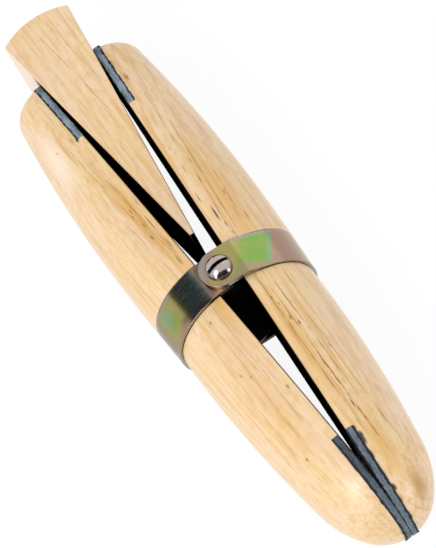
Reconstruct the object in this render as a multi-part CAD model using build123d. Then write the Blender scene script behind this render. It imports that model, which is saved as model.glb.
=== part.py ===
from build123d import *
from math import acos, asin, atan2, cos, degrees, hypot, sqrt
import os

# Wooden ring clamp: two half-round jaws rock on a post between their flat faces,
# held by a two-part steel strap. A wedge driven in at the tail opens that end and
# closes the leather-lined nose. The nose points along +X, the gap faces +Z and -Z,
# and the pivot axis runs along Z. All sizes in millimetres.

# Turned wooden body
nose_reach = 68.0          # pivot to the tip of the nose
tail_reach = 72.0          # pivot to the tail end
body_radius = 14.55        # largest radius, beside the strap on the tail side
tail_land = 8.0            # pivot to where the tail taper starts
tail_drop = 5.3            # radius lost between the land and the tail end
tail_crown = 27.0          # radius of the slightly domed tail end
tail_shoulder = 3.6        # rounding of the tail end's edge
nose_step = 0.65           # radius lost beside the strap on the nose side
belly_x = 24.0             # pivot to the fullest place of the nose half
belly_drop = 0.2           # radius lost there
dome_length = 15.4         # length of the rounded nose
dome_drop = 1.85           # radius lost where the rounded nose starts
nose_tip_drop = 4.05       # from the largest radius to that of the ball at the tip
edge_easing = 0.4          # bevel of the edges along the gap and at the post's ends

# Gap and pivot
jaw_gap = 6.7              # between the flat faces at the pivot
post_radius = 4.5
post_running = 0.08        # radial clearance of the post in its half-round seats
post_end_clearance = 0.12  # between the post's ends and the inner strap

# Leather linings
pad_thickness = 1.9
tail_pad_length = 21.8
nose_pad_length = 21.2
pad_proud = 0.12           # how far the leather's trimmed edge stands out of the wood
nose_squeeze = 0.33        # how much the leather gives at the tip where the nose pads meet
tail_squeeze = 0.3         # how much it gives at the tail end under the wedge
pad_clearance = 0.02       # between leather and what it bears on

# Wedge
wedge_tip_distance = 12.64 # pivot to the thin end when the nose is closed
wedge_stand_out = 12.83    # how far the driving end stands out past the jaws
wedge_thickness = 24.0
wedge_tip_width = 1.1
wedge_crown = 2.45         # height of the domed driving end
wedge_tip_rounding = 0.45  # under half the tip's width
wedge_corner = 0.6         # rounding between the sides and the driving end
wedge_easing = 0.4         # of its rims, less than both roundings

# Strap
strap_width = 9.2
strap_thickness = 1.0
strap_side_clearance = 0.15    # in the groove, on each side
strap_floor_clearance = 0.05   # above the floor of the groove
lap_clearance = 0.05           # between the two lapped ends
lap_side_clearance = 0.35      # where the outer strap bends down past the inner one
bend_radius = 2.0

# Screws
head_radius = 2.95
head_height = 2.0
head_rim = 0.45
slot_width = 0.9
slot_depth = 1.15
shank_radius = 1.6
shank_hold = 7.0           # length of the shank inside the post
shank_running = 0.1        # radial clearance in the strap holes
thread_clearance = 0.02
front_slot_angle = 94.0
back_slot_angle = 38.0

# Worked out from the sizes above
reach_all = nose_reach + tail_reach
jaw_lean = degrees(asin((jaw_gap / 2 + nose_squeeze) / nose_reach))
nose_tip_radius = body_radius - nose_tip_drop  # smaller than the shoulder's
strap_inner = body_radius - strap_thickness
groove_floor = strap_inner - strap_floor_clearance
groove_half = strap_width / 2 + strap_side_clearance
lap_rise = strap_thickness + lap_clearance
strap_top = strap_inner + lap_rise + strap_thickness
strap_end_radius = strap_width / 2
pivot_in_jaw = -jaw_gap / 2
overshoot = 1.0            # how far a cut starts outside the flat face
beyond = 4 * body_radius   # taller and wider than anything it cuts


def divided(edge, shares):
    """An edge of the profile, divided at some shares of its length to keep the turned faces short."""
    cuts = [0, *shares, 1]
    return [edge.trim(start, end) for start, end in zip(cuts, cuts[1:])]


def beside_lining(arc, lining_x, count):
    """Shares that divide an arc near where its lining begins, with count lengths before that."""
    begin = (lining_x - (arc @ 0).X) / ((arc @ 1).X - (arc @ 0).X)
    begin = min(max(begin, 0.1), 0.9)
    return [begin * (i + 1) / count for i in range(count)] + [(1 + begin) / 2]


def nose_arcs(start, lean, tip_x, tip_radius):
    """The nose's shoulder, running on from start along lean, and the ball at its tip."""
    ball = Vector(tip_x - tip_radius, 0)
    inward = lean.rotate(Axis.Z, -90)
    across = Vector(*start) - ball
    shoulder_radius = (tip_radius**2 - across.dot(across)) / (2 * (across.dot(inward) + tip_radius))
    centre = Vector(*start) + inward * shoulder_radius
    meet = ball + (ball - centre).normalized() * tip_radius
    shoulder = TangentArc(start, meet, tangent=lean)
    tip = TangentArc(meet, (tip_x, 0), tangent=shoulder % 1)
    return shoulder, tip


def body_outline(proud):
    """Outline of the turned body above its axis, grown by proud."""
    tail_x = -tail_reach - proud
    nose_x = nose_reach + proud
    tail_r = body_radius - tail_drop + proud
    land_r = body_radius + proud
    tail_corner_x = tail_x + tail_crown - sqrt(tail_crown**2 - tail_r**2)
    nose_side = (groove_half, body_radius - nose_step + proud)
    belly = (belly_x, body_radius - belly_drop + proud)
    dome_start = (nose_reach - dome_length, body_radius - dome_drop + proud)
    axis = Line((nose_x, 0), (tail_x, 0))
    crown = TangentArc((tail_x, 0), (tail_corner_x, tail_r), tangent=(0, 1))
    taper = TangentArc((-tail_land, land_r), (tail_corner_x, tail_r), tangent=(-1, 0))
    land = Line((-tail_land, land_r), (-groove_half, land_r))
    under_strap = Line((-groove_half, land_r), nose_side)
    belly_arc = ThreePointArc(nose_side, belly, dome_start)
    shoulder, tip = nose_arcs(dome_start, belly_arc % 1, nose_x, nose_tip_radius + proud)
    sides = divided(taper, beside_lining(taper, tail_pad_length - tail_reach, 4))
    sides += divided(belly_arc, beside_lining(belly_arc, nose_reach - nose_pad_length, 3))
    sides += divided(shoulder, [0.5])
    face = make_face([axis, crown, land, under_strap, tip] + sides)
    corner = face.vertices().sort_by_distance((tail_corner_x, tail_r))[0]
    return fillet(corner, tail_shoulder)


def turned_half():
    """Half of the turned body, with its flat face on y = 0 and the round side towards +Y."""
    return revolve(Rot(-90, 0, 0) * body_outline(0), Axis.X, 180)


def leather_strip():
    """Leather as thick as a lining and as wide as the body, its edge trimmed to stand out by pad_proud."""
    half = body_outline(pad_proud)
    whole = half + mirror(half, about=Plane.XZ)
    return extrude(Rot(90, 0, 0) * whole, pad_thickness, dir=(0, 1, 0))


def slab(x_low, x_high, y_low, y_high):
    """Block between two x and two y values, taller than the clamp."""
    size = (x_high - x_low, y_high - y_low, beyond)
    return Pos((x_low + x_high) / 2, (y_low + y_high) / 2, 0) * Box(*size)


def strap_groove():
    """Ring cut round the body for the strap."""
    ring = Cylinder(beyond, 2 * groove_half) - Cylinder(groove_floor, 2 * groove_half)
    return Rot(0, 90, 0) * ring


def tail_lining_space():
    return slab(-tail_reach - tail_pad_length, -tail_reach + tail_pad_length, -overshoot, pad_thickness)


def nose_lining_space():
    return slab(nose_reach - nose_pad_length, nose_reach + nose_pad_length, -overshoot, pad_thickness)


def jaw():
    """One wooden jaw: half-round, with its strap groove, post seat and two rebates."""
    body = turned_half()
    flat_face = body.faces().sort_by(Axis.Y)[0]
    body = chamfer(flat_face.edges(), edge_easing)
    seat = Pos(0, pivot_in_jaw, 0) * Cylinder(post_radius + post_running, beyond)
    return body - strap_groove() - seat - tail_lining_space() - nose_lining_space()


def tail_pad():
    return leather_strip() & tail_lining_space()


def nose_pad():
    return leather_strip() & nose_lining_space()


def in_clamp(piece):
    """Place a piece of the right jaw: half the gap out, leaning so that the nose closes."""
    return Rot(0, 0, -jaw_lean) * Pos(0, jaw_gap / 2, 0) * piece


def on_left(piece):
    """The same piece on the other jaw."""
    return mirror(piece, about=Plane.XZ)


def wedge_outline(extra=0.0):
    """Plan of the wedge, each side moved out by extra.

    The sides run from the thin end to where they press tail_squeeze deep into the ends of the linings.
    """
    press = in_clamp(Vertex(-tail_reach, 0, 0)).center()
    tip_x = -wedge_tip_distance
    half_tip = wedge_tip_width / 2
    slope = (press.Y + tail_squeeze - half_tip) / (tip_x - press.X)
    apex_x = press.X - wedge_stand_out
    corner_x = apex_x + wedge_crown
    tip_y = half_tip + extra
    corner_y = tip_y + slope * (tip_x - corner_x)
    sides = Polyline((corner_x, corner_y), (tip_x, tip_y), (tip_x, -tip_y), (corner_x, -corner_y))
    crown = ThreePointArc((corner_x, corner_y), (apex_x, 0), (corner_x, -corner_y))
    return make_face([sides, crown])


def wedge():
    """The driving wedge, with the corners of its plan rounded and its rims eased."""
    plan = wedge_outline()
    tip_corners = plan.vertices().sort_by(Axis.X)[-2:]
    plan = fillet(tip_corners, wedge_tip_rounding)
    end_corners = plan.vertices().sort_by(Axis.X)[:2]
    plan = fillet(end_corners, wedge_corner)
    block = extrude(plan, wedge_thickness / 2, both=True)
    rims = block.faces().filter_by(Axis.Z).edges()
    return fillet(rims, wedge_easing)


def wedge_bed():
    """The space the wedge takes in the leather, with clearance."""
    return extrude(wedge_outline(pad_clearance), beyond, both=True)


def strap_from(path):
    """Flat strip bent along a path in the x = 0 plane, with round ends and screw holes at the pivot."""
    start = Plane(origin=path @ 0, x_dir=(1, 0, 0), z_dir=path % 0)
    strip = sweep(start * Rectangle(strap_width, strap_thickness), path=path)
    straight = slab(-strap_width / 2, strap_width / 2, pivot_in_jaw, beyond)
    round_end = Pos(0, pivot_in_jaw, 0) * Cylinder(strap_end_radius, beyond)
    hole = Pos(0, pivot_in_jaw, 0) * Cylinder(shank_radius + shank_running, beyond)
    return (strip & (straight + round_end)) - hole


def inner_strap():
    """Half strap whose ends lie on the post: straight ends and a half circle."""
    middle = strap_inner + strap_thickness / 2
    end_y = pivot_in_jaw - strap_end_radius
    top = Line((0, end_y, middle), (0, 0, middle))
    bow = ThreePointArc((0, 0, middle), (0, middle, 0), (0, 0, -middle))
    bottom = Line((0, 0, -middle), (0, end_y, -middle))
    return strap_from(Wire([top, bow, bottom]))


def outer_strap():
    """Half strap that laps over the other one and slopes down into its own groove."""
    middle = strap_inner + strap_thickness / 2
    lap_z = middle + lap_rise
    end_y = pivot_in_jaw - strap_end_radius
    bend_y = pivot_in_jaw + strap_end_radius + lap_side_clearance
    tangent_angle = atan2(lap_z, bend_y) - acos(middle / hypot(bend_y, lap_z))
    meet_y = middle / cos(tangent_angle)
    points = [(0, end_y, lap_z), (0, bend_y, lap_z), (0, meet_y, 0), (0, bend_y, -lap_z), (0, end_y, -lap_z)]
    path = FilletPolyline(*points, radius=[bend_radius, middle, bend_radius])
    return strap_from(Wire(path.edges()))


def pivot_post():
    """Fulcrum pin between the jaws, drilled at both ends for the screws."""
    half = strap_inner - post_end_clearance
    post = Cylinder(post_radius, 2 * half)
    post = chamfer(post.edges().filter_by(GeomType.CIRCLE), edge_easing)
    drill_length = shank_hold + edge_easing
    drill = Cylinder(shank_radius + thread_clearance, drill_length)
    return post - Pos(0, 0, half - drill_length / 2) * drill - Pos(0, 0, drill_length / 2 - half) * drill


def screw(slot_angle):
    """Slotted round-head screw, head down on the lapped straps, shank into the post."""
    seat_z = strap_top + lap_clearance
    foot_z = strap_inner - post_end_clearance - shank_hold
    rim = Line((head_radius, seat_z), (head_radius, seat_z + head_rim))
    dome = TangentArc((0, seat_z + head_height), (head_radius, seat_z + head_rim), tangent=(1, 0))
    sides = Polyline((0, seat_z + head_height), (0, foot_z), (shank_radius, foot_z),
                     (shank_radius, seat_z), (head_radius, seat_z))
    solid = revolve(Rot(90, 0, 0) * make_face([rim, dome, sides]), Axis.Z)
    slot = Box(4 * head_radius, slot_width, 2 * slot_depth)
    return solid - Pos(0, 0, seat_z + head_height) * Rot(0, 0, slot_angle) * slot


def clamp():
    """Every piece by name, in the clamp's own frame with the pivot on the Z axis."""
    across_middle = slab(-reach_all, reach_all, -beyond, pad_clearance)
    right_jaw = in_clamp(jaw())
    right_tail_pad = in_clamp(tail_pad()) - wedge_bed()
    right_nose_pad = in_clamp(nose_pad()) - across_middle
    front_screw = screw(front_slot_angle)
    back_screw = Rot(180, 0, 0) * screw(back_slot_angle)
    return {
        "right_jaw": right_jaw,
        "left_jaw": on_left(right_jaw),
        "right_tail_pad": right_tail_pad,
        "left_tail_pad": on_left(right_tail_pad),
        "right_nose_pad": right_nose_pad,
        "left_nose_pad": on_left(right_nose_pad),
        "right_strap": in_clamp(outer_strap()),
        "left_strap": on_left(in_clamp(inner_strap())),
        "pivot_post": pivot_post(),
        "front_screw": front_screw,
        "back_screw": back_screw,
        "wedge": wedge(),
    }


pieces = clamp()
boxes = [piece.bounding_box() for piece in pieces.values()]
tail_end = min(box.min.X for box in boxes)
nose_end = max(box.max.X for box in boxes)
lowest = min(box.min.Z for box in boxes)
to_origin = Pos(-(tail_end + nose_end) / 2, 0, -lowest)

os.makedirs("parts", exist_ok=True)
for name, piece in pieces.items():
    export_step(to_origin * piece, f"parts/{name}.step")

print("pivot at", to_origin.position, "lean", round(jaw_lean, 4))
print("from the pivot: wedge end", round(tail_end, 3), "nose end", round(nose_end, 3))
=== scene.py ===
from math import cos, radians, sin

import bpy
from bpy.props import FloatProperty, FloatVectorProperty, PointerProperty
from mathutils import Euler, Matrix, Vector


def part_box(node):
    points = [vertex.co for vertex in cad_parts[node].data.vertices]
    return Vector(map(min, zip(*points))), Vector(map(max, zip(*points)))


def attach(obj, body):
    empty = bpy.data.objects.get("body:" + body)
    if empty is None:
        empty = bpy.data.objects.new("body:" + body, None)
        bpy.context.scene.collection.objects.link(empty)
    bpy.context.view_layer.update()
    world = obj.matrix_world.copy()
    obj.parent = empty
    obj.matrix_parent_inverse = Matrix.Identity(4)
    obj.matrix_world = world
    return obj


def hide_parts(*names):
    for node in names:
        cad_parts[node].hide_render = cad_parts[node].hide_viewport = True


bl_info = {
    "name": "Wooden ring clamp",
    "version": (1, 0, 0),
    "blender": (4, 5, 0),
    "location": "3D View > Sidebar > Ring clamp",
    "description": "Leather linings, surface finishes and studio for a wooden ring clamp",
    "category": "Object",
}

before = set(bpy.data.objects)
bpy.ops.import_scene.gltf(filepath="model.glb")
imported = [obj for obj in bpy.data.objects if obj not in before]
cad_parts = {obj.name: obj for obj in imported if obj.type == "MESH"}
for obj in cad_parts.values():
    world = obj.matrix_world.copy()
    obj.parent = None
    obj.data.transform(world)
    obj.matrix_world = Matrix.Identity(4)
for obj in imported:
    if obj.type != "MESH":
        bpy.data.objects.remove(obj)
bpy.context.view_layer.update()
MM = 0.001
TO_MM = 1000.0

# How the jaws stand in the frame, as in the CAD
POST_LOW, POST_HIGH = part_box("pivot_post")
PIVOT = (POST_LOW + POST_HIGH) / 2
JAW_LEAN = radians(3.1022)
HALF_GAP_MM = 3.35
HEAD_RIM_MM = 16.15  # pivot to the top of a screw head's rim
SLOT_FLOOR_MM = 16.5
HEAD_RADIUS_MM = 2.95
HEAD_UNDARKENED_MM = 2.4  # how far out from its middle a head keeps its own colour, before the painted dark reflection at its rim
LINING_MIDDLE_MM = 0.85  # depth under the flat face where a lining's cut edge is palest
SIDES = {"left": -1, "right": 1}


def linear(code):
    """An sRGB hex colour as linear red, green and blue."""
    parts = [int(code[i:i + 2], 16) / 255 for i in (1, 3, 5)]
    return tuple(v / 12.92 if v <= 0.04045 else ((v + 0.055) / 1.055) ** 2.4 for v in parts)


def swatch(name, description, code):
    """A colour property whose default is an sRGB hex colour."""
    return FloatVectorProperty(
        name=name, description=description, subtype="COLOR", size=3, min=0, max=1, default=linear(code))


class WoodSettings(bpy.types.PropertyGroup):
    straw: swatch("Straw", "Pale wood between the growth rings", "#f3d3a2")
    honey: swatch("Honey", "Warmer wood in each ring's late growth", "#e0ac52")
    blush: swatch("Blush", "Pinkish clouds in the pale wood", "#f6d6b1")
    # the wedge's sides take this as painted light
    cream: swatch("Cream", "Palest wood, at the left tail and on the wedge's sides", "#fbe6cf")
    grain: swatch("Grain lines", "Brown of the growth ring lines", "#a4681c")
    amber: swatch("Amber", "Golden figure and resin stains", "#c4923f")
    fleck: swatch("Flecks", "Dark brown of pores and flecks", "#5a2d08")
    # near-black of the painted shade on the sawn faces in the gap; blackened glue drips use it too
    sawn: swatch("Sawn faces", "Sawn inner faces, blackened by wax and polishing dust", "#120705")


class LeatherSettings(bpy.types.PropertyGroup):
    core: swatch("Cut edge", "Blue-grey of the cut edge", "#8897a7")
    # the dark band it paints along both faces of the cut edge is partly painted shade
    skin: swatch("Faces", "Darker dye on the two faces", "#161d24")
    core_light: swatch("Worn edge", "Paler fibres where the cut edge is worn", "#a3b0bd")
    glue: swatch("Glue", "Brown of old glue soaked into the edge", "#3a2213")
    voxel: FloatProperty(
        name="Mesh size", description="Spacing of the mesh that the leather is shaped with",
        unit="LENGTH", min=0.0001, default=0.25 * MM)
    raggedness: FloatProperty(
        name="Raggedness", description="How far the cut edge wanders in and out",
        unit="LENGTH", min=0, default=0.36 * MM)


class MetalSettings(bpy.types.PropertyGroup):
    # the film tints are laid round the strap by which way it faces, so they are partly painted reflection
    green_gold: swatch("Green gold", "Chromate film at its thickest", "#7a9c50")
    teal: swatch("Teal film", "Where the film turns blue green", "#80a07c")
    slate: swatch("Slate film", "Where the film turns grey", "#9aa199")
    umber_and_dark_reflection: swatch("Umber film", "Where the film turns dark brown", "#775c4e")
    olive: swatch("Olive", "Chromate film beside the green", "#a39a60")
    rose: swatch("Rose brown", "Chromate film where it is thin", "#a38475")
    violet: swatch("Grey violet", "Chromate film along the edges", "#9a938e")
    nickel: swatch("Nickel", "Plating of the screws", "#bbaeaa")
    # also the colour of painted shade on the straps behind the gap and under the lap, and of a painted dark
    # reflection at the screw heads' rims
    slot: swatch("Grime", "Grime in the screws' slots and on the post", "#2a1f19")
    # near-black of the post, painted shade deep in the gap
    post_shade_black: swatch("Blackened steel", "Oiled black finish of the post", "#0c0807")


class StudioSettings(bpy.types.PropertyGroup):
    camera_place: FloatVectorProperty(
        name="Camera", description="Where the camera stands",
        subtype="TRANSLATION", unit="LENGTH", size=3, default=(0.283123, -0.034034, 0.512842))
    camera_turn: FloatVectorProperty(
        name="Camera turn", description="How the camera is turned",
        subtype="EULER", unit="ROTATION", size=3,
        default=tuple(radians(v) for v in (26.7043, 13.9789, 57.4648)))
    lens: FloatProperty(
        name="Lens", description="Focal length on a 36 mm sensor, in millimetres",
        min=1, default=171.212)
    room_light: FloatProperty(
        name="Room light", description="Strength of the even light all round",
        min=0, default=0.66)
    floor_reach: FloatProperty(
        name="Floor", description="How far the floor reaches",
        unit="LENGTH", min=0.5, default=4.0)


class ClampSettings(bpy.types.PropertyGroup):
    wood: PointerProperty(type=WoodSettings, name="Wood", description="Finish of the jaws and the wedge")
    leather: PointerProperty(type=LeatherSettings, name="Leather", description="The four linings")
    metal: PointerProperty(type=MetalSettings, name="Metal", description="Strap, screws and post")
    studio: PointerProperty(type=StudioSettings, name="Studio", description="Camera, light and floor")


def add_node(tree, kind, settings=None, inputs=None):
    """Add a node with its settings. Each input is a plain value or another node's output."""
    node = tree.nodes.new(kind)
    for name, value in (settings or {}).items():
        setattr(node, name, value)
    for name, value in (inputs or {}).items():
        if isinstance(value, bpy.types.NodeSocket):
            tree.links.new(value, node.inputs[name])
        else:
            node.inputs[name].default_value = value
    return node


def opaque(colour):
    """Red, green and blue with full alpha, as a colour socket takes them."""
    return (colour[0], colour[1], colour[2], 1.0)


def new_material(name):
    """An empty material and its node tree."""
    material = bpy.data.materials.new(name)
    material.use_nodes = True
    material.node_tree.nodes.clear()
    return material, material.node_tree


def with_surface(material, shader):
    """The material, with a shader node as its surface."""
    add_node(material.node_tree, "ShaderNodeOutputMaterial", None, {"Surface": shader.outputs[0]})
    return material


def in_jaw_mm(tree, side):
    """Place in a jaw's own frame, in mm: x along it from the pivot, y out of its flat face, z up."""
    coords = add_node(tree, "ShaderNodeTexCoord")
    scale = Vector((TO_MM, TO_MM * side, TO_MM))
    turn = Matrix.Rotation(JAW_LEAN, 3, "Z")
    shift = -(turn @ (PIVOT * scale)) - Vector((0, HALF_GAP_MM, 0))
    return add_node(tree, "ShaderNodeMapping", None, {
        "Vector": coords.outputs["Object"], "Location": shift,
        "Rotation": (0, 0, JAW_LEAN), "Scale": scale}).outputs[0]


def in_clamp_mm(tree):
    """Place in the clamp's own frame, in mm from the pivot."""
    coords = add_node(tree, "ShaderNodeTexCoord")
    return add_node(tree, "ShaderNodeMapping", None, {
        "Vector": coords.outputs["Object"], "Location": -PIVOT * TO_MM,
        "Scale": (TO_MM, TO_MM, TO_MM)}).outputs[0]


def grain_noise(tree, place, length, width, detail, seed, roughness=0.55):
    """The node of a noise drawn out along the piece. The length and width of its spots are in mm."""
    stretched = add_node(tree, "ShaderNodeMapping", None, {
        "Vector": place, "Location": (seed, seed, seed), "Scale": (1 / length, 1 / width, 1 / width)})
    return add_node(tree, "ShaderNodeTexNoise", None, {
        "Vector": stretched.outputs[0], "Scale": 1.0, "Detail": detail, "Roughness": roughness})


def tinted(tree, ground, tint, amount):
    """The ground colour with some of a tint over it.

    The amount is a number from 0 to 1 or a node's output.
    """
    return add_node(tree, "ShaderNodeMix", {"data_type": "RGBA"}, {
        0: amount, 6: ground, 7: opaque(tint)}).outputs[2]


def between(tree, value, low, high, most=1.0, least=0.0):
    """A value taken smoothly from least at low to most at high."""
    return add_node(tree, "ShaderNodeMapRange", {"interpolation_type": "SMOOTHSTEP"}, {
        "Value": value, "From Min": low, "From Max": high, "To Min": least, "To Max": most}).outputs[0]


def spot(tree, place, centre, half_sizes, full, strength=1.0):
    """The strength in the middle of an ellipsoid, falling to 0 at its surface. Sizes are in mm.

    Full is how much of the way out the spot keeps its strength, from 0 to 1.
    """
    away = add_node(tree, "ShaderNodeVectorMath", {"operation": "SUBTRACT"}, {0: place, 1: centre})
    scaled = add_node(tree, "ShaderNodeVectorMath", {"operation": "DIVIDE"}, {
        0: away.outputs[0], 1: half_sizes})
    reach = add_node(tree, "ShaderNodeVectorMath", {"operation": "LENGTH"}, {0: scaled.outputs[0]})
    return between(tree, reach.outputs["Value"], 1.0, full, strength)


def stained(tree, colour, place, stains, tints):
    """The colour with soft stains over it.

    Each stain has its centre and half sizes in mm, the name of its tint among the tints, and a strength.
    """
    for centre, half_sizes, tint, strength in stains:
        inside = spot(tree, place, centre, half_sizes, 0.0, strength)
        colour = tinted(tree, colour, getattr(tints, tint), inside)
    return colour


def facing(tree):
    """Which way the surface faces in the frame, split into X, Y and Z."""
    coords = add_node(tree, "ShaderNodeTexCoord")
    return add_node(tree, "ShaderNodeSeparateXYZ", None, {0: coords.outputs["Normal"]}).outputs


def set_ramp(ramp, stops):
    """Give a new colour ramp its stops, each a position from 0 to 1 and a colour."""
    first_position, first_colour = stops[0]
    ramp.elements[0].position = first_position
    ramp.elements[0].color = first_colour
    for position, colour in stops[1:]:
        ramp.elements.new(position).color = colour
    ramp.elements.remove(ramp.elements[-1])


# Marks on the wood: centre in the jaw's own frame and half sizes, in mm, and how dark.
# Flecks lie mostly beside the gap, where the grain has torn a little. Long thin ones are vessel lines.
JAW_MARKS = {
    "left": [
        ((45.8, 8.1, 10.6), (0.75, 0.32, 0.6), 0.9),
        ((-20.2, 1.5, 14.3), (3.2, 0.3, 1.2), 0.6),
        ((-8.2, 2.0, 14.4), (2.2, 0.4, 1.2), 0.9),
        ((-13.0, 1.2, 14.4), (2.4, 0.24, 1.2), 0.6),
        ((8.0, 5.4, 13.0), (0.6, 0.25, 0.8), 0.8),
        ((-27.0, 0.9, 14.0), (2.6, 0.3, 1.2), 0.5),
        ((24.0, 6.2, 12.6), (0.7, 0.26, 0.8), 0.7),
        ((31.5, 1.7, 14.0), (0.9, 0.4, 0.8), 0.7),
        ((22.0, 7.6, 12.0), (1.0, 0.26, 0.8), 0.6),
        ((-40.0, 6.0, 12.0), (0.7, 0.26, 1.0), 0.5),
        ((-52.0, 7.0, 9.5), (0.6, 0.26, 1.0), 0.5),
        ((-25.6, 3.2, 13.7), (1.0, 0.26, 1.0), 0.65),
        ((-24.2, 3.6, 13.7), (0.9, 0.24, 1.0), 0.6),
        ((-20.5, 2.9, 14.0), (1.3, 0.26, 1.0), 0.55),
        ((-16.9, 3.3, 14.0), (0.9, 0.36, 1.0), 0.8),
        ((-12.7, 3.7, 14.0), (1.4, 0.26, 1.0), 0.65),
    ],
    "right": [
        ((-12.7, 2.5, 14.3), (3.0, 0.42, 1.4), 1.0),
        ((-18.4, 1.3, 14.6), (2.6, 0.32, 1.4), 0.8),
        ((-9.2, 3.2, 14.2), (1.4, 0.28, 1.2), 0.8),
        ((-11.0, 6.6, 12.8), (3.0, 0.24, 1.2), 0.6),
        ((-57.4, 3.2, 10.8), (0.9, 0.3, 1.2), 0.45),
        ((-59.5, 2.5, 10.6), (0.9, 0.3, 1.2), 0.4),
        ((-36.0, 4.0, 12.6), (2.4, 0.24, 1.2), 0.5),
        ((-27.0, 2.2, 14.0), (2.0, 0.24, 1.2), 0.5),
        ((48.6, 1.5, 12.9), (1.0, 0.3, 1.2), 0.7),
        ((14.2, 3.1, 13.9), (0.8, 0.3, 1.0), 0.9),
        ((18.5, 3.5, 13.7), (1.0, 0.3, 1.0), 0.9),
        ((37.0, 5.4, 12.9), (1.2, 0.24, 1.0), 0.8),
        ((42.5, 4.4, 12.8), (1.6, 0.28, 1.0), 0.9),
        ((28.0, 7.2, 12.0), (1.0, 0.24, 1.0), 0.6),
        ((46.5, 5.0, 12.4), (1.0, 0.24, 1.0), 0.7),
        ((-33.4, 2.1, 13.5), (0.9, 0.26, 1.0), 0.6),
        ((-28.1, 4.3, 13.3), (1.1, 0.28, 1.0), 0.65),
        ((-17.1, 6.8, 12.7), (1.0, 0.28, 1.0), 0.65),
        ((-9.4, 8.1, 12.0), (2.0, 0.28, 1.2), 0.65),
        ((-6.4, 3.5, 14.1), (1.0, 0.26, 1.0), 0.65),
        ((12.1, 2.5, 14.0), (0.9, 0.28, 1.0), 0.85),
        ((20.4, 4.5, 13.6), (0.9, 0.3, 1.0), 0.85),
    ],
}
# Long thin lines of late wood, drawn about 0.3 mm wide so that they show: x at the start and the end,
# y at each of them, and strength. The wedge's are in the clamp's frame, the others in their jaw's.
LATE_LINES = {
    "left": [(-50, -22, 4.4, 3.4, 0.4), (-44, -12, 2.6, 1.8, 0.5), (6, 38, 2.6, 3.4, 0.35),
             (10, 44, 5.0, 6.2, 0.3), (-34, -8, 5.6, 4.6, 0.3), (14, 50, 8.2, 9.2, 0.25)],
    "right": [(6, 48, 1.9, 2.9, 0.75), (10, 55, 3.1, 4.9, 1.0), (8, 40, 4.5, 5.9, 0.8),
              (20, 52, 6.6, 8.2, 0.5), (6, 34, 7.6, 8.6, 0.35), (-24, -7, 3.6, 2.6, 0.9),
              (-40, -8, 5.2, 4.2, 0.65), (-30, -6, 7.4, 6.4, 0.6), (-56, -30, 4.4, 3.2, 0.4)],
    "wedge": [(-88, -50, -2.2, 1.8, 0.42), (-88, -60, 1.2, 4.2, 0.28), (-88, -66, -5.2, -3.2, 0.25),
              (-74, -40, 4.4, 3.0, 0.25), (-66, -34, -3.4, -0.8, 0.2)],
}
# Stains as in JAW_MARKS, each with its tint and strength: cream on the pale left tail, honey and
# amber for the figure of the grain at the nose and beside the gap, and a duller left nose end
JAW_STAINS = {
    "left": [
        ((-50.0, 8.0, 8.5), (16.0, 4.2, 6.0), "cream", 0.85),
        ((2.0, 1.5, 13.5), (28.0, 2.4, 3.0), "honey", 0.85),
        ((65.0, 4.0, 5.0), (6.0, 7.0, 6.0), "sawn", 0.12),
        ((30.0, 6.5, 11.0), (28.0, 5.0, 5.0), "honey", 0.4),
        ((-24.0, 3.0, 13.5), (24.0, 2.4, 3.0), "honey", 0.8),
        ((-50.0, 5.4, 10.5), (9.0, 0.5, 3.0), "amber", 0.45),
        ((-40.0, 3.6, 12.5), (9.0, 0.5, 3.0), "amber", 0.4),
        ((-28.0, 2.3, 13.5), (10.0, 0.5, 3.0), "amber", 0.6),
        ((-13.0, 1.6, 14.0), (9.0, 0.8, 3.0), "amber", 0.75),
        ((-18.0, 3.2, 14.0), (9.0, 1.8, 3.0), "amber", 0.4),
        ((10.0, 2.5, 14.0), (8.0, 0.5, 3.0), "amber", 0.35),
        ((-51.0, 3.0, 11.5), (2.4, 0.6, 2.0), "amber", 0.7),
    ],
    "right": [
        ((52.0, 4.8, 11.0), (13.0, 3.2, 5.5), "honey", 0.75),
        ((62.9, 6.6, 6.4), (6.2, 3.2, 5.5), "amber", 0.95),
        ((-14.0, 6.0, 12.5), (26.0, 5.5, 5.0), "honey", 0.7),
        ((26.0, 2.5, 13.5), (26.0, 3.0, 3.0), "honey", 0.7),
        ((-38.0, 7.5, 9.5), (10.0, 1.6, 4.0), "amber", 0.45),
        ((-27.0, 5.0, 12.5), (8.0, 1.1, 3.0), "amber", 0.35),
        ((-18.0, 8.6, 11.0), (7.0, 1.0, 3.0), "amber", 0.3),
        ((20.0, 2.2, 14.0), (14.0, 0.5, 3.0), "amber", 0.6),
        ((42.0, 3.6, 13.0), (12.0, 0.6, 3.0), "amber", 0.6),
        ((30.0, 6.5, 12.0), (10.0, 0.6, 3.0), "amber", 0.3),
        ((-57.6, 3.0, 10.8), (2.6, 1.0, 2.0), "amber", 0.95),
        ((-57.6, 3.1, 10.8), (1.7, 0.6, 1.6), "grain", 0.5),
    ],
}
# Glue squeezed out beside a lining, gone black: centre and half sizes as in JAW_MARKS
GLUE_DRIPS = {
    "left": [((-50.0, 1.9, 11.6), (0.8, 0.5, 1.3))],
    "right": [((50.6, 1.9, 12.8), (1.9, 1.0, 1.9)), ((49.4, 2.1, 12.9), (1.2, 0.9, 1.6)),
              ((61.8, 1.9, 9.6), (1.2, 0.9, 1.7))],
}
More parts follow.
